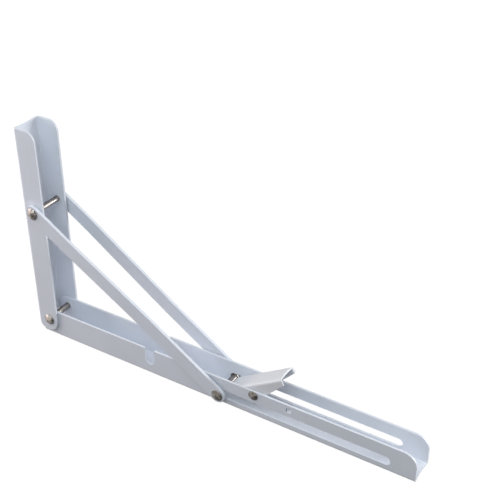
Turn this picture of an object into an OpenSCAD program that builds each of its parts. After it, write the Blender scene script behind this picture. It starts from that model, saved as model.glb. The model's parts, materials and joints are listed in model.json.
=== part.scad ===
// Folding shelf bracket, lying on its shelf arm with the wall leg standing up.
// X runs along the arm, away from the wall. Y runs across the width. Z runs up the leg.
// The origin is where the wall plane meets the shelf plane, at mid-width.
// In use the bracket is turned over: the arm's flat web carries the shelf.
// Pressing the lever lifts its nose off the slide pin, and the arm folds against the leg.

/* [Wall leg] */
// Height of the leg's top above the shelf plane
leg_height = 165; // [150:1:185]
// Width of the leg across its two flanges
leg_width = 24; // [22:0.5:30]
// Depth of the leg's flanges, measured from the wall plane
leg_depth = 18; // [17:0.5:22]
// Sheet thickness of the leg
leg_sheet = 1.5; // [1:0.1:2]
// Inside radius of the leg's two bends
leg_bend_r = 1.5; // [0.8:0.1:2]
// Radius of the outer corner at the top of each leg flange
leg_corner_r = 7; // [2:0.5:10]
// Height of the leg's lowest point above the shelf plane
leg_foot_z = 4.3; // [3:0.1:6]
// Height of the web's lower end above the leg's lowest point
leg_web_lift = 4; // [3:0.1:10]

/* [Shelf arm] */
// Distance of the arm's tip from the wall plane
arm_length = 300; // [292:1:360]
// Depth of the arm's flanges, measured from the shelf plane
arm_depth = 21.2; // [20:0.2:22.6]
// Sheet thickness of the arm
arm_sheet = 1.5; // [1:0.1:2]
// Inside radius of the arm's two bends
arm_bend_r = 1.2; // [0.8:0.1:2]
// Free gap between each arm flange and the leg flange beside it
arm_side_gap = 0.4; // [0.3:0.05:1]
// Radius of the outer corner at the tip of each arm flange
arm_tip_r = 9.5; // [3:0.5:14]
// Radius of the lower corner at the arm's inner end
arm_heel_r = 3; // [1:0.5:5]
// Depth of the shallow curve across both sheet ends of the arm and the leg
end_sag = 0.8; // [0.3:0.1:1.5]

/* [Main pivot] */
// Distance of the fold axis from the wall plane
pivot_x = 10.8; // [10:0.1:13]
// Height of the fold axis above the shelf plane
pivot_z = 14; // [12.5:0.1:15]
// Radius of the main rivet's shank
pivot_pin_r = 2.4; // [2:0.1:3]
// Radius of the main rivet's heads
pivot_head_r = 4.1; // [3.6:0.1:5]

/* [Struts] */
// Distance of the upper strut axis from the wall plane
upper_x = 11.2; // [10.5:0.1:13]
// Height of the upper strut axis above the shelf plane
upper_z = 104.8; // [98:0.1:108]
// Radius of the upper rivet's shank
upper_pin_r = 2.15; // [1.8:0.05:2.8]
// Radius of the upper rivet's heads
upper_head_r = 4.3; // [3.6:0.1:5]
// Width of the flat strut bar
strut_width = 11.3; // [10:0.1:14]
// Thickness of the flat strut bar
strut_sheet = 2.2; // [1.5:0.1:3]
// Gap between the leg's flange and the strut at its upper end
strut_top_gap = 1.1; // [0.8:0.05:2]
// Gap between the arm's flange and the strut at its lower end
strut_foot_gap = 1.2; // [1.1:0.05:2]
// Distance from the upper axis to the start of the strut's crank
crank_start = 30; // [20:1:40]
// Distance from the upper axis to the end of the strut's crank
crank_end = 108; // [100:1:125]
// Radius of the washers between leg and struts
upper_washer_r = 4; // [3.6:0.1:5]

/* [Slide pin and slots] */
// Distance of the slide pin from the wall plane when the bracket is open
open_pin_x = 157.8; // [152:0.1:162]
// Height of the slots' centre line above the shelf plane
slot_z = 8.8; // [8:0.1:9]
// Radius of the slide pin's journals, which run in the slots
slide_pin_r = 3.2; // [2.6:0.1:3.4]
// Radius of the slide pin's shaft between the flanges, and of its riveted ends
slide_shaft_r = 2.3; // [1.8:0.1:2.5]
// Free travel left in the slot beyond the folded pin
slot_spare = 2.7; // [1:0.05:6]
// Radius of the slide pin's outer heads
slide_head_r = 4.1; // [3.6:0.1:5]
// Height of the slide pin's outer heads
slide_head_h = 1.2; // [1:0.1:2.4]
// Radius of the washers that slide along the arm
slide_washer_r = 4.6; // [4:0.1:5.1]

/* [Axle notch] */
// Width of the notch that takes the upper rivet when the arm is folded
notch_width = 8; // [7:0.1:9]
// Distance from the folded rivet's axis to the notch's centre, towards the wall
notch_shift = 1.6; // [0.4:0.1:1.6]
// Gap under the folded rivet at the bottom of the notch
notch_floor_gap = 2.95; // [0.5:0.05:3.5]
// Radius of the notch's rounded entry corner
notch_lip_r = 1; // [0.5:0.5:4]

/* [Release lever] */
// Distance of the lever's axis from the wall plane
lever_x = 184; // [182:0.5:190]
// Height of the lever's axis above the shelf plane
lever_z = 18; // [17.8:0.1:18.5]
// Angle of the thumb plate above the arm
lever_tilt = 32.5; // [28:0.5:35]
// Distance from the lever's axis square to the plate's outer face
lever_rise = 6.9; // [6.4:0.05:7.2]
// Distance from the lever's axis along the plate to its tip
lever_reach = 26.8; // [24:0.2:29]
// Distance from the lever's axis back to its nose
lever_nose = 21.4; // [17:0.1:21.4]
// Depth of the lever's flanges at the tip
lever_tip_depth = 4.9; // [3.5:0.1:5]
// Angle between the plate and the lower edge of the flanges
lever_taper = 14; // [10:0.5:16]
// Depth of the shallow curve across the thumb plate's end
lever_end_sag = 1.2; // [0.6:0.1:2]
// Gap between the path of the slide pin and the lever above it
lever_pin_gap = 0.4; // [0.3:0.05:0.6]
// Gap between each lever flange and the arm's flange
lever_side_gap = 0.6; // [0.5:0.05:1.5]
// Sheet thickness of the lever
lever_sheet = 1.3; // [1:0.1:1.6]
// Inside radius of the lever's two bends
lever_bend_r = 0.8; // [0.5:0.1:1.2]
// Radius of the lever rivet's shank
lever_pin_r = 2.5; // [2:0.1:2.8]
// Radius of the lever rivet's heads
lever_head_r = 3.5; // [3.2:0.1:3.9]
// Height of the lever rivet's heads
lever_head_h = 1; // [0.8:0.05:1]
// Radius of the washers beside the lever
lever_washer_r = 3.4; // [3.3:0.1:4.6]

/* [Lever spring and its tab] */
// Diameter of the spring wire
wire_d = 1.2; // [0.8:0.1:1.3]
// Mean radius of the spring's coil
spring_r = 3.7; // [3.4:0.1:3.9]
// Distance between neighbouring turns of the coil
spring_pitch = 1.35; // [1.3:0.05:1.5]
// Number of whole turns in the coil
spring_turns = 6; // [3:1:6]
// Distance along the plate from the lever's axis to where the spring's free leg bears on it
spring_reach = 17; // [14:0.5:20]
// Distance of the spring tab's middle from the wall plane
tab_x = 210.6; // [210:0.2:214]
// Height of the spring tab's bend above the shelf plane
tab_z = 15.2; // [14.6:0.1:15.2]
// Width of the spring tab
tab_width = 3; // [2.4:0.1:4]
// Height of the spring tab
tab_height = 2.2; // [1.8:0.1:2.2]
// Distance that the tab's top is bent into the channel
tab_bend = 1.3; // [0.8:0.1:1.4]
// Width of the cuts beside the tab
tab_cut = 0.3; // [0.2:0.05:0.5]
// Height of the window that the tab is bent out of
tab_window = 3.9; // [3.8:0.1:4.2]

/* [Screw holes] */
// Radius of the screw holes
screw_r = 2.75; // [2:0.05:3]
// Height of the lowest wall screw above the shelf plane
wall_screw_z = 50; // [46:1:60]
// Distance between neighbouring wall screws
wall_screw_pitch = 45; // [40:1:45]
// Number of wall screws
wall_screws = 3; // [2:1:3]
// Distance of the first shelf screw from the wall plane
shelf_screw_x = 50; // [35:1:60]
// Distance between the two inner shelf screws
shelf_screw_pitch = 80; // [60:1:85]
// Distance of the outer shelf screw from the arm's tip
tip_screw_inset = 9; // [7:0.5:12]

/* [Rivets and fits] */
// Height of the main and upper rivets' heads
head_h = 2.2; // [1.6:0.1:2.6]
// Height of the straight rim under each domed head
head_rim = 0.5; // [0.3:0.1:0.8]
// Radius of the small flat on each domed head
head_flat_r = 1; // [0.4:0.1:1.5]
// Radial clearance of a pin that turns or slides in its hole
running_gap = 0.06; // [0.03:0.01:0.1]
// Radial clearance of a pin that is fixed in its hole
fixed_gap = 0.02; // [0.01:0.01:0.03]
// Clearance between two faces that pass each other
face_gap = 0.05; // [0.03:0.01:0.1]

/* [Hidden] */

$fn = 96;
overcut = 1;

// Finishes
coat = "#b4b7bf";
lever_coat = "#c8ccd2";
steel = "#8f8b86";
dark_steel = "#6f6c6a";

// Half widths, from the middle outwards
leg_y = leg_width / 2;
arm_y = leg_y - leg_sheet - arm_side_gap;
arm_inner_y = arm_y - arm_sheet;
lever_y = arm_inner_y - lever_side_gap;
lever_inner_y = lever_y - lever_sheet;
strut_top_y = leg_y + strut_top_gap;
strut_foot_y = arm_y + strut_foot_gap;

// The upper rivet as the folded arm sees it, turned about the fold axis by a right angle
folded_rivet_x = pivot_x + upper_z - pivot_z;
folded_rivet_z = pivot_z - (upper_x - pivot_x);

// The strut's length and its angle in the open bracket
strut_length = norm([open_pin_x - upper_x, slot_z - upper_z]);
strut_angle = atan2(slot_z - upper_z, open_pin_x - upper_x);

// The slide pin's place along the arm when folded, a strut's length from the folded rivet
folded_pin_x = folded_rivet_x + sqrt(pow(strut_length, 2) - pow(folded_rivet_z - slot_z, 2));
slot_r = slide_pin_r + running_gap;
slot_end_x = folded_pin_x + slot_spare;

// The lever's lowest face stays above the path of the slide pin's shaft
lever_floor = lever_z - slot_z - slide_shaft_r - lever_pin_gap;

// Two-dimensional section of a folded channel: web at x = 0, flanges towards +X
module channel_section(width, depth, sheet, bend_r) {
    difference() {
        two_corner_plate(width, depth, sheet + bend_r);
        translate([sheet, 0])
            two_corner_plate(width - 2 * sheet, depth, bend_r);
    }
}

// A plate from x = 0 whose two corners at x = 0 are round
module two_corner_plate(width, depth, corner_r) {
    translate([corner_r, -width / 2])
        square([depth - corner_r, width]);
    translate([0, corner_r - width / 2])
        square([depth, width - 2 * corner_r]);
    for (side = [-1, 1])
        translate([corner_r, side * (width / 2 - corner_r)])
            circle(corner_r);
}

// Gives a side view, drawn with X across and Z up, a thickness about the middle plane
module across_width(width) {
    rotate([90, 0, 0])
        linear_extrude(width, center = true)
            children();
}

// A round bar or hole along Y, centred on the middle plane
module cross_bar(radius, half_length) {
    rotate([90, 0, 0])
        cylinder(r = radius, h = 2 * half_length, center = true);
}

// Places its children on the left side, +Y, or the right side, with their +Z pointing outwards
module outwards(side, from_y) {
    translate([0, side * from_y, 0])
        rotate([-side * 90, 0, 0])
            children();
}

// Half profile of a domed head with a straight rim and a small flat crown, from the line y = 0 up
module head_profile(radius, height) {
    cap = height - head_rim;
    sunk = (pow(radius, 2) - pow(head_flat_r, 2) - pow(cap, 2)) / (2 * cap);
    intersection() {
        square([radius, height]);
        translate([0, head_rim - sunk])
            circle(norm([radius, sunk]), $fn = 192);
    }
}

// A rivet along Y, turned in one piece with a domed head on each side
module rivet(shank_r, head_r, height, grip_y) {
    shank_y = grip_y + head_rim;
    rotate([90, 0, 0])
        rotate_extrude() {
            translate([0, -shank_y])
                square([shank_r, 2 * shank_y]);
            for (turn = [0, 1])
                mirror([0, turn])
                    translate([0, grip_y])
                        head_profile(head_r, height);
        }
}

// A washer between two faces on one side
module side_washer(side, outer_r, bore_r, from_y, to_y) {
    outwards(side, from_y)
        difference() {
            cylinder(r = outer_r, h = to_y - from_y);
            translate([0, 0, -overcut])
                cylinder(r = bore_r, h = to_y - from_y + 2 * overcut);
        }
}

// Radius of a shallow curve that sinks by a given depth over a given width
function sag_radius(width, depth) = (pow(width / 2, 2) + pow(depth, 2)) / (2 * depth);

// Side view of the leg: a round foot, straight edges and a round top corner
module leg_outline() {
    foot_r = leg_depth / 2;
    foot_z = leg_foot_z + foot_r;
    corner_z = leg_height - leg_corner_r;
    translate([foot_r, foot_z])
        circle(foot_r);
    translate([0, foot_z])
        square([leg_depth, corner_z - foot_z]);
    translate([0, foot_z])
        square([leg_depth - leg_corner_r, leg_height - foot_z]);
    translate([leg_depth - leg_corner_r, corner_z])
        circle(leg_corner_r);
}

module wall_leg() {
    web_y = leg_y - leg_sheet - leg_bend_r;
    sag_r = sag_radius(leg_width, end_sag);
    color(coat)
        difference() {
            intersection() {
                linear_extrude(leg_height)
                    channel_section(leg_width, leg_depth, leg_sheet, leg_bend_r);
                across_width(leg_width + 2 * overcut)
                    leg_outline();
            }
            // The web stops above the round feet of the flanges
            translate([-overcut, -web_y, 0])
                cube([overcut + leg_sheet + leg_bend_r, 2 * web_y, leg_foot_z + leg_web_lift]);
            // Shallow curve across the top of the web
            translate([-overcut, 0, leg_height - end_sag + sag_r])
                rotate([0, 90, 0])
                    cylinder(r = sag_r, h = leg_depth + 2 * overcut, $fn = 360);
            translate([pivot_x, 0, pivot_z])
                cross_bar(pivot_pin_r + fixed_gap, leg_y + overcut);
            translate([upper_x, 0, upper_z])
                cross_bar(upper_pin_r + running_gap, leg_y + overcut);
            for (i = [0:wall_screws - 1])
                translate([-overcut, 0, wall_screw_z + i * wall_screw_pitch])
                    rotate([0, 90, 0])
                        cylinder(r = screw_r, h = leg_sheet + 2 * overcut);
        }
}

// Side view of the arm: a round end about the fold axis, a small heel and a round tip corner
module arm_outline() {
    end_r = arm_depth - pivot_z;
    end_x = pivot_x - end_r;
    heel_x = end_x + arm_heel_r;
    shoulder_z = arm_depth - arm_tip_r;
    translate([pivot_x, pivot_z])
        circle(end_r);
    translate([end_x, arm_heel_r])
        square([pivot_x - end_x, pivot_z - arm_heel_r]);
    translate([heel_x, arm_heel_r])
        circle(arm_heel_r);
    translate([heel_x, 0])
        square([arm_length - heel_x, shoulder_z]);
    translate([pivot_x, 0])
        square([arm_length - arm_tip_r - pivot_x, arm_depth]);
    translate([arm_length - arm_tip_r, shoulder_z])
        circle(arm_tip_r);
}

// Side view of the notch that clears the upper rivet in the folded bracket
module notch_outline() {
    half = notch_width / 2;
    centre_x = folded_rivet_x - notch_shift;
    floor_z = folded_rivet_z - upper_pin_r - notch_floor_gap;
    lip_x = centre_x - half - notch_lip_r;
    lip_z = arm_depth - notch_lip_r;
    translate([centre_x, floor_z + half])
        circle(half);
    translate([centre_x - half, floor_z + half])
        square([notch_width, arm_depth - floor_z]);
    difference() {
        translate([lip_x, lip_z])
            square([notch_lip_r + half, notch_lip_r + overcut]);
        translate([lip_x, lip_z])
            circle(notch_lip_r);
    }
}

// Side view of the slot, round at both ends
module slot_outline() {
    for (x = [open_pin_x, slot_end_x])
        translate([x, slot_z])
            circle(slot_r);
    translate([open_pin_x, slot_z - slot_r])
        square([slot_end_x - open_pin_x, 2 * slot_r]);
}

// The tab that holds the spring, cut free on three sides and bent into the channel.
// It is drawn from the right flange's outer face, with Y pointing inwards.
module spring_tab() {
    rotate([90, 0, 90])
        linear_extrude(tab_width, center = true)
            polygon([[0, -tab_cut], [0, 0], [tab_bend, tab_height],
                     [tab_bend + arm_sheet, tab_height], [arm_sheet, 0], [arm_sheet, -tab_cut]]);
}

// The window in the flange that the tab is bent out of
module tab_opening() {
    width = tab_width + 2 * tab_cut;
    translate([-width / 2, -overcut, 0])
        cube([width, arm_sheet + 2 * overcut, tab_window]);
}

module folded_arm_sheet() {
    sag_r = sag_radius(2 * arm_y, end_sag);
    difference() {
        intersection() {
            translate([arm_length, 0, 0])
                rotate([0, -90, 0])
                    linear_extrude(arm_length)
                        channel_section(2 * arm_y, arm_depth, arm_sheet, arm_bend_r);
            across_width(2 * arm_y + 2 * overcut)
                arm_outline();
        }
        across_width(2 * arm_y + 2 * overcut) {
            notch_outline();
            slot_outline();
        }
        // Shallow curve across the tip of the web
        translate([arm_length - end_sag + sag_r, 0, -overcut])
            cylinder(r = sag_r, h = arm_depth + 2 * overcut, $fn = 360);
        translate([pivot_x, 0, pivot_z])
            cross_bar(pivot_pin_r + running_gap, arm_y + overcut);
        translate([lever_x, 0, lever_z])
            cross_bar(lever_pin_r + fixed_gap, arm_y + overcut);
        for (x = [shelf_screw_x, shelf_screw_x + shelf_screw_pitch, arm_length - tip_screw_inset])
            translate([x, 0, -overcut])
                cylinder(r = screw_r, h = arm_sheet + 2 * overcut);
        translate([tab_x, -arm_y, tab_z])
            tab_opening();
    }
}

module shelf_arm() {
    color(coat) {
        folded_arm_sheet();
        translate([tab_x, -arm_y, tab_z])
            spring_tab();
    }
}

module main_pivot_rivet() {
    color(steel)
        translate([pivot_x, 0, pivot_z])
            rivet(pivot_pin_r, pivot_head_r, head_h, leg_y);
}

// A flat bar from the upper axis to the slide pin, with a gentle crank towards the arm
module strut(side) {
    end_r = strut_width / 2;
    run_out = strut_length + strut_width;
    path = [[-strut_width, strut_top_y], [crank_start, strut_top_y],
            [crank_end, strut_foot_y], [run_out, strut_foot_y]];
    outer = [for (i = [len(path) - 1:-1:0]) path[i] + [0, strut_sheet]];
    color(coat)
        translate([upper_x, 0, upper_z])
            rotate([0, -strut_angle, 0])
                scale([1, side, 1])
                    difference() {
                        intersection() {
                            linear_extrude(strut_width + 2 * overcut, center = true)
                                polygon(concat(path, outer));
                            across_width(2 * (strut_top_y + strut_sheet) + 2 * overcut) {
                                circle(end_r);
                                translate([0, -end_r])
                                    square([strut_length, strut_width]);
                                translate([strut_length, 0])
                                    circle(end_r);
                            }
                        }
                        cross_bar(upper_pin_r + fixed_gap, strut_top_y + strut_sheet + overcut);
                        translate([strut_length, 0, 0])
                            cross_bar(slide_shaft_r + fixed_gap, strut_top_y + strut_sheet + overcut);
                    }
}

module upper_rivet() {
    color(steel)
        translate([upper_x, 0, upper_z])
            rivet(upper_pin_r, upper_head_r, head_h, strut_top_y + strut_sheet);
}

module upper_washer(side) {
    color(steel)
        translate([upper_x, 0, upper_z])
            side_washer(side, upper_washer_r, upper_pin_r + running_gap, leg_y, strut_top_y - face_gap);
}

// A turned pin: a thin shaft inside the channel and a thicker journal in each slot
module slide_pin() {
    end_y = strut_foot_y - face_gap;
    color(steel)
        translate([open_pin_x, 0, slot_z]) {
            cross_bar(slide_shaft_r, arm_inner_y + face_gap);
            for (side = [-1, 1])
                outwards(side, arm_inner_y)
                    cylinder(r = slide_pin_r, h = end_y - arm_inner_y);
        }
}

module slide_washer(side) {
    color(steel)
        translate([open_pin_x, 0, slot_z])
            side_washer(side, slide_washer_r, slide_pin_r + fixed_gap,
                        arm_y + face_gap, strut_foot_y - face_gap);
}

// The riveted-over end of the slide pin, in the strut's hole and on its outer face
module slide_head(side) {
    color(dark_steel)
        translate([open_pin_x, 0, slot_z])
            outwards(side, strut_foot_y)
                rotate_extrude() {
                    square([slide_shaft_r, strut_sheet + head_rim]);
                    translate([0, strut_sheet])
                        head_profile(slide_head_r, slide_head_h);
                }
}

// Side view of the lever, drawn about its axis
module lever_outline() {
    plate_z = lever_rise / cos(lever_tilt);
    tip_v = lever_rise - lever_tip_depth;
    edge_v = tip_v - lever_reach * tan(lever_taper);
    // From the nose to the axis, flat below and along the plate above
    polygon([[-lever_nose, -lever_floor], [0, -lever_floor],
             [0, plate_z], [-lever_nose, plate_z - lever_nose * tan(lever_tilt)]]);
    // From the axis to the tip, drawn along the plate
    rotate(lever_tilt)
        polygon([[0, edge_v], [lever_reach, tip_v], [lever_reach, lever_rise], [0, lever_rise]]);
    circle(lever_floor);
}

module release_lever() {
    run = lever_nose + lever_reach;
    sag_r = sag_radius(2 * lever_y, lever_end_sag);
    color(lever_coat)
        translate([lever_x, 0, lever_z])
            difference() {
                intersection() {
                    rotate([0, -lever_tilt, 0])
                        translate([-run, 0, lever_rise])
                            rotate([0, 90, 0])
                                linear_extrude(2 * run)
                                    channel_section(2 * lever_y, run, lever_sheet, lever_bend_r);
                    across_width(2 * lever_y + 2 * overcut)
                        lever_outline();
                }
                // Shallow curve across the plate's end
                rotate([0, -lever_tilt, 0])
                    translate([lever_reach - lever_end_sag + sag_r, 0, -lever_rise])
                        cylinder(r = sag_r, h = 2 * lever_rise + overcut, $fn = 360);
                cross_bar(lever_pin_r + running_gap, lever_y + overcut);
            }
}

module lever_rivet() {
    color(steel)
        translate([lever_x, 0, lever_z])
            rivet(lever_pin_r, lever_head_r, lever_head_h, arm_y);
}

module lever_washer(side) {
    color(steel)
        translate([lever_x, 0, lever_z])
            side_washer(side, lever_washer_r, lever_pin_r + fixed_gap, lever_y + face_gap, arm_inner_y);
}

// The spring is one wire. It starts above the tab in the right flange, runs back to the coil,
// winds round the lever's rivet and ends under the thumb plate.
wire_r = wire_d / 2;
coil_half_y = spring_turns * spring_pitch / 2;
hook_z = tab_z + tab_height + wire_r + face_gap - lever_z;
hook_x = tab_x - lever_x;
hook_bend = 2 * wire_d;
// Slope of the lower tangent from the hook to the coil
fixed_slope = atan2(hook_z, hook_x) + asin(spring_r / norm([hook_x, hook_z]));
// Where the free leg bears on the inner face of the plate
bearing_v = lever_rise - lever_sheet - wire_r - face_gap;
bearing_turn = lever_tilt + atan2(bearing_v, spring_reach);
bearing_reach = norm([spring_reach, bearing_v]);
free_slope = bearing_turn - asin(spring_r / bearing_reach);
coil_start = fixed_slope - 90;
coil_end = free_slope + 90 - 360 * (spring_turns + 1);
coil_steps = 20 * spring_turns;
wire_sides = 8;

function unit(v) = v / norm(v);
function coil_point(t) = let (a = coil_start + t * (coil_end - coil_start))
    [spring_r * cos(a), coil_half_y * (2 * t - 1), spring_r * sin(a)];
function bend_point(a, b, c, t) = pow(1 - t, 2) * a + 2 * t * (1 - t) * b + pow(t, 2) * c;

hook_end = [hook_x, -arm_inner_y - arm_sheet / 2, hook_z];
hook_corner = [hook_x, -coil_half_y, hook_z];
hook_in = hook_corner - [0, hook_bend, 0];
hook_out = hook_corner - hook_bend * [cos(fixed_slope), 0, sin(fixed_slope)];
free_end = [bearing_reach * cos(bearing_turn), coil_half_y, bearing_reach * sin(bearing_turn)];
wire_path = concat([hook_end],
                   [for (t = [0:0.2:1]) bend_point(hook_in, hook_corner, hook_out, t)],
                   [for (i = [0:coil_steps]) coil_point(i / coil_steps)],
                   [free_end]);

function wire_direction(i) = let (last = len(wire_path) - 1)
    unit(wire_path[min(i + 1, last)] - wire_path[max(i - 1, 0)]);
// The direction across the wire, carried along it without twist
function wire_frames(i, across) = i == len(wire_path) ? [] :
    let (along = wire_direction(i), flat = unit(across - (across * along) * along))
    concat([[flat, cross(along, flat)]], wire_frames(i + 1, flat));

module lever_spring() {
    frames = wire_frames(0, [0, 0, 1]);
    rings = len(wire_path);
    points = [for (i = [0:rings - 1]) for (k = [0:wire_sides - 1])
        let (a = 360 * k / wire_sides)
        wire_path[i] + wire_r * (cos(a) * frames[i][0] + sin(a) * frames[i][1])];
    sides = [for (i = [0:rings - 2]) for (k = [0:wire_sides - 1])
        let (a = i * wire_sides + k, b = i * wire_sides + (k + 1) % wire_sides)
        for (tri = [[a, a + wire_sides, b], [b, a + wire_sides, b + wire_sides]]) tri];
    first_cap = [for (k = [0:wire_sides - 1]) k];
    last_cap = [for (k = [wire_sides - 1:-1:0]) (rings - 1) * wire_sides + k];
    color(steel)
        translate([lever_x, 0, lever_z])
            polyhedron(points, concat([first_cap], sides, [last_cap]), convexity = 8);
}

wall_leg();
shelf_arm();
main_pivot_rivet();
strut(1);  // left_strut
strut(-1);  // right_strut
upper_rivet();
upper_washer(1);  // upper_washer_left
upper_washer(-1);  // upper_washer_right
slide_pin();
slide_washer(1);  // slide_washer_left
slide_washer(-1);  // slide_washer_right
slide_head(1);  // slide_head_left
slide_head(-1);  // slide_head_right
release_lever();
lever_rivet();
lever_washer(1);  // lever_washer_left
lever_washer(-1);  // lever_washer_right
lever_spring();
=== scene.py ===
import json
from math import acos, asin, atan2, cos, hypot, pi, radians, sin

import bmesh
import bpy
from bpy.props import FloatProperty, FloatVectorProperty, IntProperty, PointerProperty
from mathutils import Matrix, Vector


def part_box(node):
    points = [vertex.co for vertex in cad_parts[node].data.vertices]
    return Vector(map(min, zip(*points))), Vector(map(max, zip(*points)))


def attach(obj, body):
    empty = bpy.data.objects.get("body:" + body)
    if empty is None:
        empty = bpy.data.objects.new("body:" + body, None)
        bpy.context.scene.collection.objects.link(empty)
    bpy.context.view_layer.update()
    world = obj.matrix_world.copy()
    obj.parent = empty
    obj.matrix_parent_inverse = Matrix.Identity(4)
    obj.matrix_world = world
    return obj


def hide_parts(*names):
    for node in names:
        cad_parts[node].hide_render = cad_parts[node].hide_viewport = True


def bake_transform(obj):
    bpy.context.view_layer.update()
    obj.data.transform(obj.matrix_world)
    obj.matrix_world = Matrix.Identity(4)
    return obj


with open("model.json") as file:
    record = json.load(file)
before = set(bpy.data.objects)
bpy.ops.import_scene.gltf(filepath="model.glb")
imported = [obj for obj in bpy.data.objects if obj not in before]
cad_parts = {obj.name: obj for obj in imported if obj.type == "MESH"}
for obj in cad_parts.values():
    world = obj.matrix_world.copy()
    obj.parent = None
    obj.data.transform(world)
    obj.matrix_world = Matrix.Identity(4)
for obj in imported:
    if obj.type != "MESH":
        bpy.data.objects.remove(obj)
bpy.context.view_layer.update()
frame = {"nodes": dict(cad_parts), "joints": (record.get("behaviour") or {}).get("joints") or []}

bl_info = {
    "name": "Folding Shelf Bracket",
    "version": (1, 0, 0),
    "blender": (4, 5, 0),
    "location": "3D View > Sidebar > Bracket",
    "description": "Dresses a folding shelf bracket: coated sheet, steel pins and a studio",
    "category": "Add Mesh",
}

# Places that the frame gives
LEFT, RIGHT = 1, -1
JOINTS = {joint["name"]: joint for joint in frame["joints"]}
MAIN_AXIS = Vector(JOINTS["fold"]["pos_m"])
UPPER_AXIS = Vector(JOINTS["strut_swing"]["pos_m"])
LEVER_AXIS = Vector(JOINTS["lever_press"]["pos_m"])
LEG_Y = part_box("wall_leg")[1].y
ARM_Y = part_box("shelf_arm")[1].y
STRUT_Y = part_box("left_strut")[1].y

# Limits and steps of the mesh work
WELD_DISTANCE = 1e-7
FLAT_ANGLE = radians(0.2)
SHARP_ANGLE = radians(30)
LATHE_STEPS = 72
DOME_STEPS = 12
WIRE_SIDES = 14
STEPS_PER_TURN = 44
BEND_STEPS = 12
FACE_WEIGHT = 80

# A head starts where its rivet is this many shanks wide
HEAD_START = 1.2
# A head's rim is at most this share of its height, and the rounding of its foot this share of the rim
RIM_LIMIT = 0.4
FOOT_SHARE = 1 / 3
# Where the middle of a rounded foot lies, as a share of its radius
FOOT_MIDDLE = 0.3
# The spring's bend, the margin left at each end of its coil, and its cut ends, in wire radii
BEND_REACH = 2.5
CUT_CHAMFER = 0.25

# Breadth in metres of the marks in the finishes
COAT_CLOUDS, COAT_PEEL, COAT_GRAIN = 0.035, 0.0016, 0.0007
LATHE_MARKS, DENTS, STAINS, BLOTCHES = 0.006, 0.0026, 0.003, 0.0034
ZINC_BLOOM, ZINC_GRAIN = 0.002, 0.0003
WIRE_STREAKS, WIRE_GRAIN = 0.0011, 0.0002
PAPER_FIBRE = 0.004

# Strength and depth in metres of the relief, and the range of the roughness
COAT_RELIEF = (0.35, 0.00006)
STEEL_RELIEF = 0.5
SHANK_DEPTH, HEAD_DEPTH = 0.00012, 0.0008
ZINC_RELIEF = (0.3, 0.00003)
WIRE_RELIEF = (0.25, 0.00002)
COAT_GLOSS_SPAN = (-0.05, 0.06)
SHANK_GLOSS, HEAD_GLOSS = (0.22, 0.38), (0.12, 0.24)
ZINC_GLOSS, WIRE_GLOSS = (0.34, 0.5), (0.25, 0.4)

# How far each finish goes lighter and darker than its colour
COAT_SPREAD, ZINC_SPREAD, WIRE_SPREAD, PAPER_SPREAD = 0.035, 0.18, 0.3, 0.01

# Scale of the lathe's rings in the steel, the stretch of the pattern of its marks, and the spread of
# the blotches on a head, past 0 and 1 so that some of them are full
RING_SCALE = 900.0
MARK_STRETCH = (1, 30, 1)
BLOTCH_RANGE = (-0.15, 1.15)

# Share of riveting dents, against lathe marks, in the relief of the steel
RIVET_DENTS, PIN_DENTS, SLIDE_HEAD_DENTS = 0.7, 0.4, 0.8

# The side on which a highlight is painted on the heads and on the shanks, with painted shade on the other
# side, how far from the axis that reaches, and the share of the steel's colour at each place from painted
# shade to painted highlight
HEAD_HIGHLIGHT_SIDE = (-0.6, 0, 0.8)
SHANK_HIGHLIGHT_SIDE = (0.4, 0, 0.18)
HIGHLIGHT_REACH = 0.0042
PAINTED_SHADING_STOPS = ((0.15, 0.3), (0.44, 0.75), (0.64, 2.7), (0.85, 1.6))

# The roughness of each noise, and the part of its values that the finishes use, as the rest hardly occurs
NOISE_ROUGHNESS = 0.55
NOISE_LOW, NOISE_HIGH = 0.3, 0.7

# The floor, and the distances from the corner between which it grows as white as the sky
FLOOR_HALF = 4.0
FLOOR_DROP = 0.0001
GLOW_RADII = (0.45, 1.5)

# Where the lamps point
LAMP_AIM = Vector((0.12, 0, 0.05))


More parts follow.
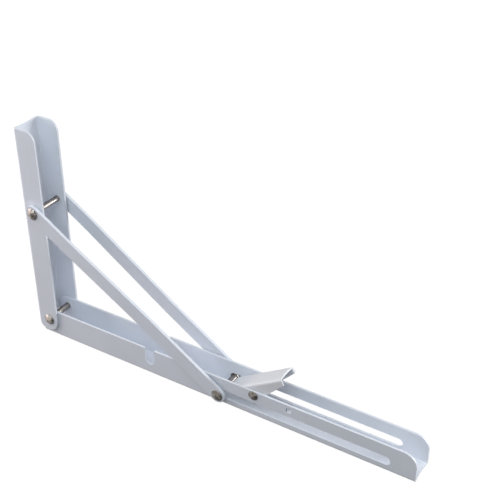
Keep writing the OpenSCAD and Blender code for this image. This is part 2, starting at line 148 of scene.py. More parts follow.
class BracketSizes(bpy.types.PropertyGroup):
    """Sizes of the details that the scene adds to the frame."""

    sheet_edge: FloatProperty(
        name="Sheet edge radius", description="Roundness of the coated sheet's edges",
        default=0.00025, min=0.0001, max=0.0005, precision=5, unit="LENGTH")
    bar_edge: FloatProperty(
        name="Bar edge radius", description="Roundness of the flat struts' edges",
        default=0.0003, min=0.0001, max=0.0006, precision=5, unit="LENGTH")
    washer_edge: FloatProperty(
        name="Washer edge radius", description="Roundness of the washers' edges",
        default=0.0001, min=0.00005, max=0.0002, precision=5, unit="LENGTH")
    main_shank: FloatProperty(
        name="Main shank radius", description="Radius of the rivet that the arm folds on",
        default=0.0024, min=0.002, max=0.003, precision=5, unit="LENGTH")
    upper_shank: FloatProperty(
        name="Upper shank radius", description="Radius of the rivet that the struts hang on",
        default=0.00215, min=0.0018, max=0.0028, precision=5, unit="LENGTH")
    lever_shank: FloatProperty(
        name="Lever shank radius", description="Radius of the rivet that the lever turns on",
        default=0.0025, min=0.002, max=0.0028, precision=5, unit="LENGTH")
    slide_shaft: FloatProperty(
        name="Slide shaft radius", description="Radius of the slide pin between the arm's flanges",
        default=0.0023, min=0.0018, max=0.0025, precision=5, unit="LENGTH")
    head_rim: FloatProperty(
        name="Head rim", description="Height of the straight rim under each domed head",
        default=0.0005, min=0.0003, max=0.0008, precision=5, unit="LENGTH")
    wire: FloatProperty(
        name="Spring wire radius", description="Radius of the lever spring's wire",
        default=0.0006, min=0.0004, max=0.00065, precision=5, unit="LENGTH")
    coil: FloatProperty(
        name="Spring coil radius", description="Mean radius of the lever spring's coil",
        default=0.0037, min=0.0034, max=0.0039, precision=5, unit="LENGTH")
    coil_pitch: FloatProperty(
        name="Spring coil pitch", description="Distance between neighbouring turns of the coil",
        default=0.00135, min=0.0013, max=0.0015, precision=5, unit="LENGTH")
    coil_turns: IntProperty(
        name="Spring turns", description="Number of whole turns in the coil",
        default=6, min=3, max=6)
    spring_hook: FloatVectorProperty(
        name="Spring hook", description="Where the spring's fixed leg ends in the arm's window",
        default=(0.2106, -0.00935, 0.01805), size=3, precision=5, subtype="TRANSLATION")
    hook_drop: FloatProperty(
        name="Hook drop", description="How far the spring's fixed leg lies below its hook",
        default=0.00165, min=0, max=0.002, precision=5, unit="LENGTH")
    hook_grip: FloatProperty(
        name="Hook grip", description="Length of the hook that lies straight on the arm's tab",
        default=0.00225, min=0.002, max=0.003, precision=5, unit="LENGTH")
    spring_tip: FloatVectorProperty(
        name="Spring tip", description="Where the spring's free leg ends under the lever's plate",
        default=(0.195678, 0.00405, 0.031309), size=3, precision=5, subtype="TRANSLATION")


class BracketFinishes(bpy.types.PropertyGroup):
    """Colours and surface of the coat and the bare metal."""

    coat: FloatVectorProperty(
        name="Coat", description="Colour of the powder coat on leg, arm and struts",
        default=(0.815, 0.85, 0.915), min=0, max=1, size=3, subtype="COLOR")
    lever_coat: FloatVectorProperty(
        name="Lever coat", description="Colour of the powder coat on the lever",
        default=(0.78, 0.795, 0.82), min=0, max=1, size=3, subtype="COLOR")
    rivet_steel: FloatVectorProperty(
        name="Rivet steel", description="Colour of the main and upper rivets",
        default=(0.165, 0.149, 0.136), min=0, max=1, size=3, subtype="COLOR")
    pin_steel: FloatVectorProperty(
        name="Pin steel", description="Colour of the slide pin",
        default=(0.15, 0.14, 0.13), min=0, max=1, size=3, subtype="COLOR")
    # A darker copy of the rivet steel: painted shade on the slide pin's heads and the lever's rivet
    shaded_steel: FloatVectorProperty(
        name="Dark steel", description="Colour of the slide pin's heads and the lever's rivet",
        default=(0.09, 0.082, 0.073), min=0, max=1, size=3, subtype="COLOR")
    zinc: FloatVectorProperty(
        name="Zinc", description="Colour of the plated washers",
        default=(0.40, 0.40, 0.41), min=0, max=1, size=3, subtype="COLOR")
    spring_steel: FloatVectorProperty(
        name="Spring steel", description="Colour of the lever's spring",
        default=(0.34, 0.34, 0.35), min=0, max=1, size=3, subtype="COLOR")
    coat_roughness: FloatProperty(
        name="Coat roughness", description="Mean roughness of the satin coat",
        default=0.42, min=0.2, max=0.8, subtype="FACTOR")


class BracketStudio(bpy.types.PropertyGroup):
    """Camera, lamps and floor."""

    camera_turn: FloatProperty(
        name="Camera turn", description="Angle of the view round the bracket, from straight in front",
        default=radians(31.535), min=-pi, max=pi, subtype="ANGLE")
    camera_rise: FloatProperty(
        name="Camera rise", description="Angle of the view above the floor",
        default=radians(32.55), min=0, max=pi / 2, subtype="ANGLE")
    camera_distance: FloatProperty(
        name="Camera distance", description="Distance from the camera to the point it looks at",
        default=0.6445, min=0.3, max=3, unit="LENGTH")
    camera_aim: FloatVectorProperty(
        name="Camera aim", description="The point in the middle of the picture",
        default=(0.1557, 0.0322, 0.0983), size=3, subtype="TRANSLATION")
    lens: FloatProperty(
        name="Lens", description="Focal length on a full frame sensor, in millimetres",
        default=71.07, min=20, max=200, subtype="UNSIGNED")
    side_power: FloatProperty(
        name="Side power", description="Power of the lamp beyond the arm's tip",
        default=7.6, min=0, max=100, subtype="POWER")
    front_power: FloatProperty(
        name="Front power", description="Power of the high lamp in front",
        default=4.4, min=0, max=100, subtype="POWER")
    top_power: FloatProperty(
        name="Top power", description="Power of the high lamp over the arm's tip",
        default=1.5, min=0, max=100, subtype="POWER")
    wall_power: FloatProperty(
        name="Wall power", description="Power of the large lamp on the wall side",
        default=4.9, min=0, max=100, subtype="POWER")
    low_power: FloatProperty(
        name="Low power", description="Power of the small lamp low beside the leg",
        default=0.54, min=0, max=100, subtype="POWER")
    sky: FloatProperty(
        name="Sky", description="Strength of the even light from all round",
        default=0.2, min=0, max=1, subtype="FACTOR")
    floor: FloatProperty(
        name="Floor", description="Paleness of the floor",
        default=0.12, min=0, max=1, subtype="FACTOR")
    glow: FloatProperty(
        name="Floor glow", description="Share of white that the floor shows without any lamp",
        default=0.94, min=0, max=1, subtype="FACTOR")


# Shader nodes

def add_node(tree, kind, inputs=None, **settings):
    """Adds a shader node. Each input, by its name or number, takes a value or the socket that feeds it."""
    node = tree.nodes.new(kind)
    for name, value in settings.items():
        setattr(node, name, value)
    for name, value in (inputs or {}).items():
        if isinstance(value, bpy.types.NodeSocket):
            tree.links.new(value, node.inputs[name])
        else:
            node.inputs[name].default_value = value
    return node


def new_material(name):
    """A material with an empty tree and its output node."""
    material = bpy.data.materials.new(name)
    material.use_nodes = True
    material.node_tree.nodes.clear()
    output = add_node(material.node_tree, "ShaderNodeOutputMaterial")
    return material, material.node_tree, output


def noise(tree, vector, feature_size, detail=2.0):
    """Noise whose blotches are about the given size in metres."""
    node = add_node(tree, "ShaderNodeTexNoise",
                    {"Vector": vector, "Scale": 1 / feature_size, "Detail": detail,
                     "Roughness": NOISE_ROUGHNESS})
    return node.outputs["Fac"]


def weighted_sum(tree, first, first_share, second):
    """Mixes two grey patterns by a fixed share."""
    scaled = add_node(tree, "ShaderNodeMath", {0: first, 1: first_share}, operation="MULTIPLY")
    total = add_node(tree, "ShaderNodeMath", {0: second, 1: 1 - first_share, 2: scaled.outputs[0]},
                     operation="MULTIPLY_ADD")
    return total.outputs[0]


def shade_range(tree, pattern, colour, spread):
    """A colour that the pattern makes a little darker and lighter."""
    ramp = add_node(tree, "ShaderNodeValToRGB", {"Fac": pattern})
    low, high = ramp.color_ramp.elements
    low.position, high.position = NOISE_LOW, NOISE_HIGH
    low.color = [channel * (1 - spread) for channel in colour] + [1]
    high.color = [min(channel * (1 + spread), 1) for channel in colour] + [1]
    return ramp.outputs["Color"]


def value_range(tree, pattern, low, high):
    """Spreads the middle of a pattern over the given values."""
    node = add_node(tree, "ShaderNodeMapRange",
                    {"Value": pattern, "From Min": NOISE_LOW, "From Max": NOISE_HIGH,
                     "To Min": low, "To Max": high})
    return node.outputs["Result"]


def surface_point(tree, axis_point=None, stretch=None):
    """The surface point in the piece's own metres, from an axis point and stretched if asked."""
    point = add_node(tree, "ShaderNodeTexCoord").outputs["Object"]
    if axis_point is not None:
        moved = add_node(tree, "ShaderNodeVectorMath", {0: point, 1: axis_point}, operation="SUBTRACT")
        point = moved.outputs["Vector"]
    if stretch is not None:
        scaled = add_node(tree, "ShaderNodeVectorMath", {0: point, 1: stretch}, operation="MULTIPLY")
        point = scaled.outputs["Vector"]
    return point


def finish_surface(tree, output, tone, gloss, relief, strength, depth, metallic):
    """Joins a finish's colour, roughness and relief to the material's output."""
    bump = add_node(tree, "ShaderNodeBump", {"Strength": strength, "Distance": depth, "Height": relief})
    shader = add_node(tree, "ShaderNodeBsdfPrincipled",
                      {"Base Color": tone, "Metallic": metallic, "Roughness": gloss,
                       "Normal": bump.outputs["Normal"]})
    tree.links.new(shader.outputs["BSDF"], output.inputs["Surface"])


# Finishes

def powder_coat(name, colour, roughness):
    """Satin powder coat: faint clouds, fine grain and the skin of an orange."""
    material, tree, output = new_material(name)
    point = surface_point(tree)
    clouds = noise(tree, point, COAT_CLOUDS)
    grain = noise(tree, point, COAT_GRAIN, detail=3.0)
    orange_peel = noise(tree, point, COAT_PEEL)
    tone = shade_range(tree, weighted_sum(tree, clouds, 0.6, grain), colour, COAT_SPREAD)
    patches = weighted_sum(tree, clouds, 0.4, orange_peel)
    gloss = value_range(tree, patches, *(roughness + change for change in COAT_GLOSS_SPAN))
    relief = weighted_sum(tree, orange_peel, 0.75, grain)
    finish_surface(tree, output, tone, gloss, relief, *COAT_RELIEF, metallic=0.0)
    return material


def painted_shading_tone(tree, pattern, colour):
    """A steel colour that a pattern from 0 to 1 takes from painted shade to a painted highlight and back a
    little.
    """
    ramp = add_node(tree, "ShaderNodeValToRGB", {"Fac": pattern})
    stops = ramp.color_ramp.elements
    for position, _ in PAINTED_SHADING_STOPS[len(stops):]:
        stops.new(position)
    for stop, (position, share) in zip(stops, PAINTED_SHADING_STOPS):
        stop.position = position
        stop.color = [min(channel * share, 1) for channel in colour] + [1]
    return ramp.outputs["Color"]


def head_mask(tree, point, shank_half):
    """1 on the heads of a rivet and 0 on the shank between them."""
    along = add_node(tree, "ShaderNodeSeparateXYZ", {"Vector": point})
    distance = add_node(tree, "ShaderNodeMath", {0: along.outputs["Y"]}, operation="ABSOLUTE")
    on_head = add_node(tree, "ShaderNodeMath", {0: distance.outputs[0], 1: shank_half},
                       operation="GREATER_THAN")
    return on_head.outputs[0]


def by_place(tree, on_head, for_shank, for_head):
    """Takes one value or pattern on the shank and another on the heads."""
    choice = add_node(tree, "ShaderNodeMix", {"Factor": on_head, "A": for_shank, "B": for_head})
    return choice.outputs["Result"]


def highlight_side_pattern(tree, point, on_head):
    """0 to 1 across the steel, from painted shade to painted highlight: one side for the heads, another for
    the shank between them.
    """
    across_head, across_shank = (
        add_node(tree, "ShaderNodeVectorMath", {0: point, 1: side}, operation="DOT_PRODUCT").outputs["Value"]
        for side in (HEAD_HIGHLIGHT_SIDE, SHANK_HIGHLIGHT_SIDE))
    across = by_place(tree, on_head, across_shank, across_head)
    spread = add_node(tree, "ShaderNodeMapRange",
                      {"Value": across, "From Min": -HIGHLIGHT_REACH, "From Max": HIGHLIGHT_REACH})
    return spread.outputs["Result"]


def turned_steel(name, colour, axis_point, dent_share, shank_half):
    """Bare steel from the lathe: fine rings round the axis, a painted highlight on one side and painted
    shade on the other, and, on heads, marks of the riveting tool."""
    material, tree, output = new_material(name)
    point = surface_point(tree, axis_point)
    along = surface_point(tree, axis_point, stretch=MARK_STRETCH)
    rings = add_node(tree, "ShaderNodeTexWave",
                     {"Vector": point, "Scale": RING_SCALE, "Distortion": 1.5, "Detail": 2.0,
                      "Detail Scale": 1.5},
                     wave_type="RINGS", rings_direction="Y").outputs["Fac"]
    lathe_marks = noise(tree, along, LATHE_MARKS, detail=3.0)
    dents = noise(tree, point, DENTS)
    stain = noise(tree, point, STAINS, detail=4.0)
    blotches = value_range(tree, noise(tree, point, BLOTCHES, detail=3.0), *BLOTCH_RANGE)
    on_head = head_mask(tree, point, shank_half)
    # Painted highlight and painted shade across each head and shank, mixed with random stains on the shank
    # and blotches on the heads
    painted_shading = highlight_side_pattern(tree, point, on_head)
    shading_and_stains = by_place(tree, on_head, weighted_sum(tree, painted_shading, 0.72, stain),
                    weighted_sum(tree, painted_shading, 0.6, blotches))
    tone = painted_shading_tone(tree, shading_and_stains, colour)
    marks = weighted_sum(tree, stain, 0.5, lathe_marks)
    gloss = by_place(tree, on_head, value_range(tree, marks, *SHANK_GLOSS),
                     value_range(tree, marks, *HEAD_GLOSS))
    relief = weighted_sum(tree, dents, dent_share, weighted_sum(tree, rings, 0.3, lathe_marks))
    depth = by_place(tree, on_head, SHANK_DEPTH, HEAD_DEPTH)
    finish_surface(tree, output, tone, gloss, relief, STEEL_RELIEF, depth, metallic=1.0)
    return material


def zinc_plate(name, colour):
    """Dull zinc plating with a cloudy bloom."""
    material, tree, output = new_material(name)
    point = surface_point(tree)
    bloom = noise(tree, point, ZINC_BLOOM, detail=4.0)
    grain = noise(tree, point, ZINC_GRAIN)
    tone = shade_range(tree, weighted_sum(tree, bloom, 0.7, grain), colour, ZINC_SPREAD)
    gloss = value_range(tree, bloom, *ZINC_GLOSS)
    finish_surface(tree, output, tone, gloss, grain, *ZINC_RELIEF, metallic=1.0)
    return material


def drawn_wire(name, colour):
    """Spring wire with the dark streaks of oil and drawing."""
    material, tree, output = new_material(name)
    point = surface_point(tree)
    streaks = noise(tree, point, WIRE_STREAKS, detail=4.0)
    grain = noise(tree, point, WIRE_GRAIN)
    tone = shade_range(tree, streaks, colour, WIRE_SPREAD)
    gloss = value_range(tree, streaks, *WIRE_GLOSS)
    finish_surface(tree, output, tone, gloss, grain, *WIRE_RELIEF, metallic=1.0)
    return material


def seen_directly(tree):
    """1 for what the camera, a reflection or glass sees, and 0 for light that falls on the object."""
    rays = add_node(tree, "ShaderNodeLightPath").outputs
    seen = rays["Is Camera Ray"]
    for ray in ("Is Glossy Ray", "Is Transmission Ray"):
        seen = add_node(tree, "ShaderNodeMath", {0: seen, 1: rays[ray]}, operation="MAXIMUM").outputs[0]
    return seen


def floor_paper(name, paleness, glow_share):
    """Studio paper that looks white and keeps the shadow. Its glow is only seen and lights nothing, and
    grows with distance until the paper meets the white sky."""
    material, tree, output = new_material(name)
    point = surface_point(tree)
    tone = shade_range(tree, noise(tree, point, PAPER_FIBRE, detail=3.0), (paleness,) * 3, PAPER_SPREAD)
    paper = add_node(tree, "ShaderNodeBsdfDiffuse", {"Color": tone, "Roughness": 0.5})
    distance = add_node(tree, "ShaderNodeVectorMath", {0: point}, operation="LENGTH")
    whitened = add_node(tree, "ShaderNodeMapRange",
                        {"Value": distance.outputs["Value"], "From Min": GLOW_RADII[0],
                         "From Max": GLOW_RADII[1], "To Min": glow_share, "To Max": 1})
    strength = add_node(tree, "ShaderNodeMath", {0: seen_directly(tree), 1: whitened.outputs["Result"]},
                        operation="MULTIPLY")
    glow = add_node(tree, "ShaderNodeEmission", {"Strength": strength.outputs[0]})
    both = add_node(tree, "ShaderNodeAddShader", {0: paper.outputs["BSDF"], 1: glow.outputs["Emission"]})
    tree.links.new(both.outputs["Shader"], output.inputs["Surface"])
    return material


# Mesh work

def new_piece(name, shape, material):
    """Makes an object of a bmesh, shaded smooth with the flat faces kept flat, and frees the bmesh."""
    mesh = bpy.data.meshes.new(name)
    shape.to_mesh(mesh)
    shape.free()
    mesh.shade_smooth()
    mesh.materials.append(material)
    piece = bpy.data.objects.new(name, mesh)
    bpy.context.scene.collection.objects.link(piece)
    weighted = piece.modifiers.new("Flat faces stay flat", "WEIGHTED_NORMAL")
    weighted.keep_sharp = True
    weighted.weight = FACE_WEIGHT
    return piece


def place(piece, body, slot, *nodes):
    """Lets the piece stand for its nodes and ride on their body. The slot is not used."""
    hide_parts(*nodes)
    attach(piece, body)


def rounded_shape(node, edge_radius):
    """The node's own shape with every sharp edge rounded, as a coat or a tumbling drum leaves it."""
    shape = bmesh.new()
    shape.from_mesh(frame["nodes"][node].data)
    bmesh.ops.remove_doubles(shape, verts=shape.verts, dist=WELD_DISTANCE)
    bmesh.ops.dissolve_limit(shape, angle_limit=FLAT_ANGLE, verts=shape.verts, edges=shape.edges)
    sharp = [edge for edge in shape.edges if edge.calc_face_angle(0) > SHARP_ANGLE]
    bmesh.ops.bevel(shape, geom=sharp, offset=edge_radius, offset_type="OFFSET", segments=2,
                    profile=0.5, affect="EDGES", clamp_overlap=True)
    if any(not edge.is_manifold for edge in shape.edges):
        raise RuntimeError(f"The rounded shape of {node} isn't closed")
    return shape


def lathe_shape(axis_point, profile):
    """Turns a profile of (distance along Y, radius) round an axis along Y. Its ends lie on the axis."""
    shape = bmesh.new()
    centre = Vector((axis_point.x, 0, axis_point.z))
    turn = [2 * pi * step / LATHE_STEPS for step in range(LATHE_STEPS)]
    rings = []
    for y, radius in profile:
        if radius == 0:
            rings.append([shape.verts.new(centre + Vector((0, y, 0)))])
            continue
        rings.append([shape.verts.new(centre + Vector((radius * cos(a), y, radius * sin(a)))) for a in turn])
    for lower, upper in zip(rings, rings[1:]):
        for step in range(LATHE_STEPS):
            after = (step + 1) % LATHE_STEPS
            if len(lower) == 1:
                shape.faces.new((lower[0], upper[after], upper[step]))
            elif len(upper) == 1:
                shape.faces.new((upper[0], lower[step], lower[after]))
            else:
                shape.faces.new((lower[step], lower[after], upper[after], upper[step]))
    bmesh.ops.recalc_face_normals(shape, faces=shape.faces)
    return shape


def dome_profile(base_y, top_y, radius, rim, edge):
    """Half profile of a domed head from its rounded foot at base_y up to the crown on the axis."""
    cap = top_y - base_y - rim
    sphere = (radius ** 2 + cap ** 2) / (2 * cap)
    half_angle = acos((sphere - cap) / sphere)
    middle = edge * FOOT_MIDDLE
    profile = [(base_y, radius - edge), (base_y + middle, radius - middle), (base_y + edge, radius)]
    for step in range(DOME_STEPS):
        angle = half_angle * (1 - step / DOME_STEPS)
        profile.append((top_y - sphere + sphere * cos(angle), sphere * sin(angle)))
    return profile + [(top_y, 0)]


def head_foot(node, axis_point, shank):
    """How far from the middle the node's head begins: where it first grows wider than its shank."""
    corners = [vertex.co for vertex in frame["nodes"][node].data.vertices]
    wide = [abs(c.y) for c in corners if hypot(c.x - axis_point.x, c.z - axis_point.z) > HEAD_START * shank]
    return min(wide)


def rivet_profile(node, shank, grip_y, rim):
    """Whole profile of a rivet with a dome on both sides, its heads as large as the node's."""
    low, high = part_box(node)
    radius = (high.x - low.x) / 2
    half = [(grip_y, shank)] + dome_profile(grip_y, high.y, radius, rim, rim * FOOT_SHARE)
    return [(-y, r) for y, r in reversed(half)] + half


def spring_path():
    """The middle line of the spring's wire: hook, fixed leg, coil round the rivet and free leg."""
    coil, half_y = sizes().coil, sizes().coil_turns * sizes().coil_pitch / 2
    hook = Vector(sizes().spring_hook) - Vector((LEVER_AXIS.x, 0, LEVER_AXIS.z))
    tip = Vector(sizes().spring_tip) - Vector((LEVER_AXIS.x, 0, LEVER_AXIS.z))
    corner = Vector((hook.x, -half_y, hook.z - sizes().hook_drop))
    hook_slope = atan2(corner.z, corner.x) + asin(coil / hypot(corner.x, corner.z))
    tip_slope = atan2(tip.z, tip.x) - asin(coil / hypot(tip.x, tip.z))
    first, last = hook_slope - pi / 2, tip_slope + pi / 2 - 2 * pi * (sizes().coil_turns + 1)
    bend = BEND_REACH * sizes().wire
    shoulder = hook + Vector((0, sizes().hook_grip, 0))
    into = corner + bend * (shoulder - corner).normalized()
    out = corner - bend * Vector((cos(hook_slope), 0, sin(hook_slope)))
    path = [hook, shoulder]
    for step in range(BEND_STEPS + 1):
        t = step / BEND_STEPS
        path.append((1 - t) ** 2 * into + 2 * t * (1 - t) * corner + t ** 2 * out)
    steps = round(STEPS_PER_TURN * (first - last) / (2 * pi))
    for step in range(steps + 1):
        t = step / steps
        angle = first + t * (last - first)
        path.append(Vector((coil * cos(angle), half_y * (2 * t - 1), coil * sin(angle))))
    path.append(Vector((tip.x, half_y, tip.z)))
    return [point + Vector((LEVER_AXIS.x, 0, LEVER_AXIS.z)) for point in path]


def wire_shape(path, radius):
    """Sweeps a round wire along a path, with its cut ends slightly chamfered."""
    chamfer = radius * CUT_CHAMFER
    first, last = (path[1] - path[0]).normalized(), (path[-1] - path[-2]).normalized()
    points = [path[0], path[0] + first * chamfer] + path[1:-1] + [path[-1] - last * chamfer, path[-1]]
    turn = [2 * pi * side / WIRE_SIDES for side in range(WIRE_SIDES)]
    shape = bmesh.new()
    rings = []
    across = Vector((0, 0, 1))
    for number, point in enumerate(points):
        before, after = points[max(number - 1, 0)], points[min(number + 1, len(points) - 1)]
        along = (after - before).normalized()
        across = (across - across.dot(along) * along).normalized()
        beside = along.cross(across)
        width = radius - chamfer if number in (0, len(points) - 1) else radius
        rings.append([shape.verts.new(point + width * (cos(a) * across + sin(a) * beside)) for a in turn])
    for lower, upper in zip(rings, rings[1:]):
        for side in range(WIRE_SIDES):
            after = (side + 1) % WIRE_SIDES
            shape.faces.new((lower[side], lower[after], upper[after], upper[side]))
    shape.faces.new(list(reversed(rings[0])))
    shape.faces.new(rings[-1])
    return shape


def sizes():
    """The sizes that are set in the scene."""
    return bpy.context.scene.bracket_sizes


def finishes():
    """The finishes that are set in the scene."""
    return bpy.context.scene.bracket_finishes


def studio():
    """The camera, lamps and floor that are set in the scene."""
    return bpy.context.scene.bracket_studio


# Pieces

class BRACKET_OT_channels(bpy.types.Operator):
    """Adds the folded wall leg and shelf arm."""

    bl_idname = "bracket.channels"
    bl_label = "Wall Leg and Shelf Arm"

    def execute(self, context):
        coat = powder_coat("Powder coat on sheet", finishes().coat, finishes().coat_roughness)
        for node, body, name in (("wall_leg", "wall_leg", "coated_wall_leg"),
                                 ("shelf_arm", "arm", "coated_shelf_arm")):
            piece = new_piece(name, rounded_shape(node, sizes().sheet_edge), coat)
            place(piece, body, "coated_sheet", node)
        return {"FINISHED"}


class BRACKET_OT_struts(bpy.types.Operator):
    """Adds the two cranked struts."""

    bl_idname = "bracket.struts"
    bl_label = "Struts"

    def execute(self, context):
        coat = powder_coat("Powder coat on bar", finishes().coat, finishes().coat_roughness)
        for side in ("left", "right"):
            node = f"{side}_strut"
            piece = new_piece(f"coated_{node}", rounded_shape(node, sizes().bar_edge), coat)
            place(piece, "struts", "coated_bar", node)
        return {"FINISHED"}


class BRACKET_OT_lever(bpy.types.Operator):
    """Adds the release lever."""

    bl_idname = "bracket.lever"
    bl_label = "Release Lever"

    def execute(self, context):
        coat = powder_coat("Powder coat on lever", finishes().lever_coat, finishes().coat_roughness)
        piece = new_piece("coated_lever", rounded_shape("release_lever", sizes().sheet_edge), coat)
        place(piece, "lever", "coated_lever", "release_lever")
        return {"FINISHED"}


class BRACKET_OT_rivets(bpy.types.Operator):
    """Adds the main, upper and lever rivets."""

    bl_idname = "bracket.rivets"
    bl_label = "Rivets"

    def execute(self, context):
        rows = (("main_pivot_rivet", "wall_leg", MAIN_AXIS, sizes().main_shank, LEG_Y),
                ("upper_rivet", "struts", UPPER_AXIS, sizes().upper_shank, STRUT_Y),
                ("lever_rivet", "arm", LEVER_AXIS, sizes().lever_shank, ARM_Y))
        for node, body, axis_point, shank, grip_y in rows:
            # The lever's rivet takes the darker copy of the rivet steel as painted shade
            colour = finishes().shaded_steel if node == "lever_rivet" else finishes().rivet_steel
            steel = turned_steel(f"Steel of {node}", colour, axis_point, RIVET_DENTS, grip_y)
            rim = min(sizes().head_rim, RIM_LIMIT * (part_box(node)[1].y - grip_y))
            shape = lathe_shape(axis_point, rivet_profile(node, shank, grip_y, rim))
            place(new_piece(f"turned_{node}", shape, steel), body, "rivet_steel", node)
        return {"FINISHED"}


class BRACKET_OT_slide_pin(bpy.types.Operator):
    """Adds the stepped slide pin and its two riveted ends."""

    bl_idname = "bracket.slide_pin"
    bl_label = "Slide Pin"

    def execute(self, context):
        low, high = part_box("slide_pin")
        axis_point = (low + high) / 2
        steel = turned_steel("Steel of slide_pin", finishes().pin_steel, axis_point, PIN_DENTS, high.y)
        pin = new_piece("turned_slide_pin", rounded_shape("slide_pin", sizes().washer_edge), steel)
        place(pin, "slide_pin", "pin_steel", "slide_pin")
        # The slide pin's heads take the darker copy of the steel as painted shade
        head_steel = turned_steel("Steel of slide heads", finishes().shaded_steel, axis_point,
                                  SLIDE_HEAD_DENTS, high.y)
        rim = sizes().head_rim
        for side in (LEFT, RIGHT):
            node = "slide_head_left" if side == LEFT else "slide_head_right"
            low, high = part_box(node)
            inner_y, top_y = sorted((abs(low.y), abs(high.y)))
            radius = (high.x - low.x) / 2
            foot_y = head_foot(node, axis_point, sizes().slide_shaft)
            profile = [(inner_y, 0), (inner_y, sizes().slide_shaft), (foot_y, sizes().slide_shaft)]
            profile += dome_profile(foot_y, top_y, radius, rim, rim * FOOT_SHARE)
            shape = lathe_shape(axis_point, [(side * y, r) for y, r in profile])
            place(new_piece(f"riveted_{node}", shape, head_steel), "struts", "pin_steel", node)
        return {"FINISHED"}


class BRACKET_OT_washers(bpy.types.Operator):
    """Adds the washers at the upper rivet, the slide pin and the lever."""

    bl_idname = "bracket.washers"
    bl_label = "Washers"

    def execute(self, context):
        zinc = zinc_plate("Zinc plate", finishes().zinc)
        for group, body in (("upper", "wall_leg"), ("slide", "slide_pin"), ("lever", "arm")):
            for side in ("left", "right"):
                node = f"{group}_washer_{side}"
                piece = new_piece(f"plated_{node}", rounded_shape(node, sizes().washer_edge), zinc)
                place(piece, body, "washer_steel", node)
        return {"FINISHED"}


class BRACKET_OT_spring(bpy.types.Operator):
    """Adds the torsion spring, its coil round the lever's rivet."""

    bl_idname = "bracket.spring"
    bl_label = "Lever Spring"

    def execute(self, context):
        wire = drawn_wire("Spring wire", finishes().spring_steel)
        piece = new_piece("wound_lever_spring", wire_shape(spring_path(), sizes().wire), wire)
        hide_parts("lever_spring")
        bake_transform(piece)
        return {"FINISHED"}


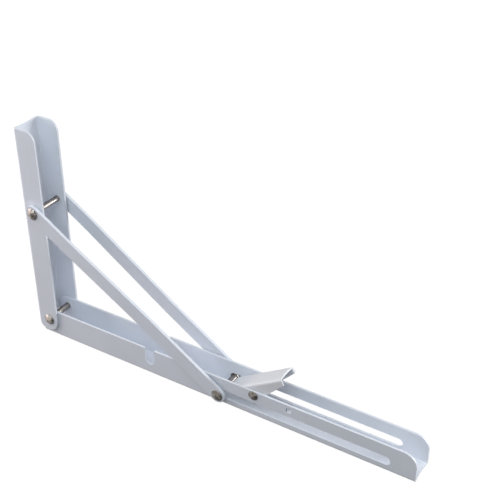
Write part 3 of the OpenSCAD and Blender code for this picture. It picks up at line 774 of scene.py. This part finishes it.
class BRACKET_OT_studio(bpy.types.Operator):
    """Adds the floor, the lamps, the sky and the camera."""

    bl_idname = "bracket.studio"
    bl_label = "Studio"

    def execute(self, context):
        self.add_floor()
        self.add_lamps()
        self.add_sky(context.scene)
        self.add_camera(context.scene)
        context.scene.view_settings.view_transform = "Standard"
        return {"FINISHED"}

    def add_floor(self):
        mesh = bpy.data.meshes.new("studio_floor")
        corners = [(x * FLOOR_HALF, y * FLOOR_HALF, -FLOOR_DROP)
                   for x, y in ((-1, -1), (1, -1), (1, 1), (-1, 1))]
        mesh.from_pydata(corners, [], [(0, 1, 2, 3)])
        mesh.materials.append(floor_paper("Studio paper", studio().floor, studio().glow))
        floor = bpy.data.objects.new("studio_floor", mesh)
        bpy.context.scene.collection.objects.link(floor)

    def add_lamps(self):
        # Name, place, width, power and tint of each lamp
        rows = (("side_lamp", (1.1, 0.6, 0.3), 0.6, studio().side_power, (0.96, 0.975, 1)),
                ("front_lamp", (0.2, -0.6, 0.9), 0.8, studio().front_power, (0.86, 0.96, 1)),
                ("top_lamp", (0.75, 0.05, 0.75), 0.6, studio().top_power, (1, 0.95, 0.97)),
                ("wall_lamp", (-0.8, -0.25, 0.45), 0.6, studio().wall_power, (1, 0.97, 1)),
                ("low_lamp", (-0.47, -0.4, 0.14), 0.3, studio().low_power, (1, 0.66, 0.7)))
        for name, place_at, width, power, tint in rows:
            lamp = bpy.data.lights.new(name, "AREA")
            lamp.shape = "DISK"
            lamp.size = width
            lamp.energy = power
            lamp.color = tint
            stand = bpy.data.objects.new(name, lamp)
            stand.location = place_at
            stand.rotation_euler = (LAMP_AIM - Vector(place_at)).to_track_quat("-Z", "Y").to_euler()
            bpy.context.scene.collection.objects.link(stand)

    def add_sky(self, scene):
        scene.world = bpy.data.worlds.new("studio_sky")
        scene.world.use_nodes = True
        tree = scene.world.node_tree
        tree.nodes.clear()
        output = add_node(tree, "ShaderNodeOutputWorld")
        light = add_node(tree, "ShaderNodeBackground", {"Color": (1, 1, 1, 1), "Strength": studio().sky})
        white = add_node(tree, "ShaderNodeBackground", {"Color": (1, 1, 1, 1), "Strength": 1.0})
        choice = add_node(tree, "ShaderNodeMixShader",
                          {"Fac": seen_directly(tree), 1: light.outputs["Background"],
                           2: white.outputs["Background"]})
        tree.links.new(choice.outputs["Shader"], output.inputs["Surface"])

    def add_camera(self, scene):
        turn, rise = studio().camera_turn, studio().camera_rise
        back = Vector((sin(turn) * cos(rise), -cos(turn) * cos(rise), sin(rise)))
        camera = bpy.data.objects.new("camera", bpy.data.cameras.new("camera"))
        camera.data.lens = studio().lens
        camera.data.clip_start, camera.data.clip_end = 0.01, 50
        camera.location = Vector(studio().camera_aim) + back * studio().camera_distance
        camera.rotation_euler = back.to_track_quat("Z", "Y").to_euler()
        scene.collection.objects.link(camera)
        scene.camera = camera


OPERATORS = (BRACKET_OT_studio, BRACKET_OT_channels, BRACKET_OT_struts, BRACKET_OT_lever,
             BRACKET_OT_rivets, BRACKET_OT_slide_pin, BRACKET_OT_washers, BRACKET_OT_spring)


class BRACKET_PT_panel(bpy.types.Panel):
    """Lists the pieces of the bracket and what can be set."""

    bl_idname = "BRACKET_PT_panel"
    bl_label = "Folding Shelf Bracket"
    bl_space_type = "VIEW_3D"
    bl_region_type = "UI"
    bl_category = "Bracket"

    def draw(self, context):
        for operator in OPERATORS:
            self.layout.operator(operator.bl_idname)
        for group in (sizes(), finishes(), studio()):
            box = self.layout.box()
            for name in type(group).__annotations__:
                box.prop(group, name)


CLASSES = (BracketSizes, BracketFinishes, BracketStudio) + OPERATORS + (BRACKET_PT_panel,)


def register():
    for cls in CLASSES:
        bpy.utils.register_class(cls)
    bpy.types.Scene.bracket_sizes = PointerProperty(type=BracketSizes)
    bpy.types.Scene.bracket_finishes = PointerProperty(type=BracketFinishes)
    bpy.types.Scene.bracket_studio = PointerProperty(type=BracketStudio)


def unregister():
    del bpy.types.Scene.bracket_studio
    del bpy.types.Scene.bracket_finishes
    del bpy.types.Scene.bracket_sizes
    for cls in reversed(CLASSES):
        bpy.utils.unregister_class(cls)


def main():
    register()
    bpy.ops.bracket.studio()
    bpy.ops.bracket.channels()
    bpy.ops.bracket.struts()
    bpy.ops.bracket.lever()
    bpy.ops.bracket.rivets()
    bpy.ops.bracket.slide_pin()
    bpy.ops.bracket.washers()
    bpy.ops.bracket.spring()


if __name__ == "__main__":
    main()
